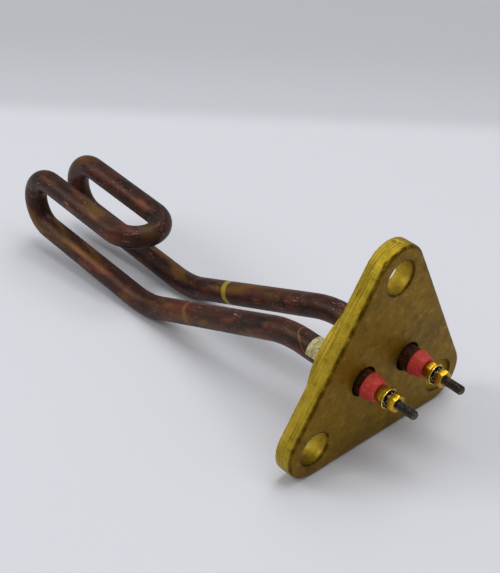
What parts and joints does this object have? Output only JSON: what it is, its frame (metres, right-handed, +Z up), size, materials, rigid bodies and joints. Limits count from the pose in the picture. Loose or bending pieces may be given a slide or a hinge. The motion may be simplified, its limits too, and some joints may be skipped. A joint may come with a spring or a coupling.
{
  "type": "flanged immersion heating element",
  "caption": "Tubular immersion heater on a triangular brass flange: a copper sheath cranked down, looped back and crossed over, with insulated screw terminals on the outer face.",
  "frame": {"origin": "centre of the bolt circle on the rear face of the flange plate", "axes": "+Y along the heater into the boiler, -Y out along the terminals, +Z up through the apex hole of the flange"},
  "size_m": [0.0784, 0.195, 0.0764],
  "materials": {
    "aged_brass": "cast, tarnished to olive, matt",
    "oxidised_copper": "dark brown oxide with scratched pink copper",
    "braze": "dull",
    "bright_brass": "semi-bright",
    "steel": "dark, threaded",
    "blackened_steel": "black with bright edges",
    "red_bush": "satin",
    "seal": "matt",
    "magnesia": "matt",
    "wire": "satin"
  },
  "bodies": {
    "root": {"flange": "aged_brass", "sheath": "oxidised_copper", "magnesia_packing": "magnesia", "heating_wire_coil": "wire", "end_seal_left": "seal", "terminal_stud_left": "steel", "insulating_bush_left": "red_bush", "inner_nut_left": "bright_brass", "plain_washer_left": "bright_brass", "lock_washer_left": "blackened_steel", "outer_nut_left": "bright_brass", "braze_fillet_left": "braze", "end_seal_right": "seal", "terminal_stud_right": "steel", "insulating_bush_right": "red_bush", "inner_nut_right": "bright_brass", "plain_washer_right": "bright_brass", "lock_washer_right": "blackened_steel", "outer_nut_right": "bright_brass", "braze_fillet_right": "braze"}
  },
  "joints": []
}
